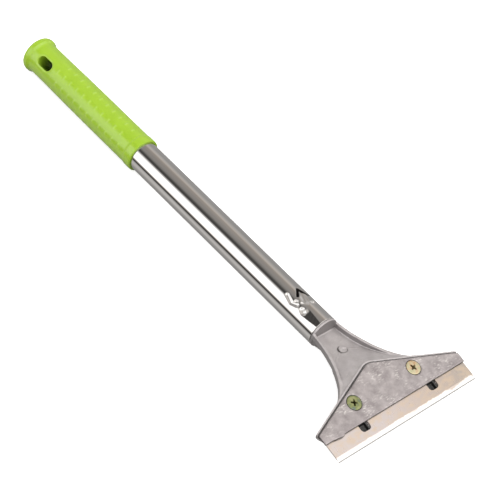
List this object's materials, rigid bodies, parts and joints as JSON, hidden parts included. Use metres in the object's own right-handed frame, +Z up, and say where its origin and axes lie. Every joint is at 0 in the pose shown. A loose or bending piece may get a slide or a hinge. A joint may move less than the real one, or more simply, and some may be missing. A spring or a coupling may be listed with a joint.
{
  "type": "algae scraper",
  "caption": "Long-handled algae scraper with a bare steel tube, lime soft grip, cast fan-shaped head and a wide flat blade clamped under a screwed plate.",
  "frame": {"origin": "centre of the whole tool seen from above, on the plane it lies on", "axes": "+X along the tube towards the blade's cutting edge, +Y along the blade, +Z up from the table with the clamp plate on top"},
  "size_m": [0.3168, 0.1018, 0.0221],
  "materials": {
    "grip": "satin moulded soft PVC, lime green",
    "tube": "bright chromed steel tube",
    "casting": "tumbled die-cast zinc-aluminium",
    "plate": "flat die casting, mottled",
    "blade": "ground spring steel",
    "screws": "yellow zinc-plated steel"
  },
  "bodies": {
    "handle": {"scraper_head": "casting", "handle_tube": "tube", "grip_sleeve": "grip"},
    "clamp_plate": {"clamp_plate": "plate"},
    "blade": {"blade": "blade"},
    "screw_left": {"clamp_screw_left": "screws"},
    "screw_right": {"clamp_screw_right": "screws"}
  },
  "joints": [
    {"name": "plate_lift", "type": "slide", "parent": "handle", "child": "clamp_plate", "axis": [0.2164, 0, 0.9763], "range_m": [0, 0.0084]},
    {"name": "blade_lift", "type": "slide", "parent": "handle", "child": "blade", "axis": [0.2164, 0, 0.9763], "range_m": [0, 0.0042]},
    {"name": "screw_left_turn", "type": "hinge", "parent": "clamp_plate", "child": "screw_left", "pos_m": [0.13788, 0.02155, 0.01545], "axis": [0.2164, 0, 0.9763], "range_deg": [0, 4320]},
    {"name": "screw_right_turn", "type": "hinge", "parent": "clamp_plate", "child": "screw_right", "pos_m": [0.13788, -0.02155, 0.01545], "axis": [0.2164, 0, 0.9763], "range_deg": [0, 4320]}
  ],
  "couplings": [
    {"joint": "screw_left_turn", "follows": "plate_lift", "rad_per_m": 8976},
    {"joint": "screw_right_turn", "follows": "plate_lift", "rad_per_m": 8976},
    {"joint": "blade_lift", "follows": "plate_lift", "ratio": 0.5}
  ]
}
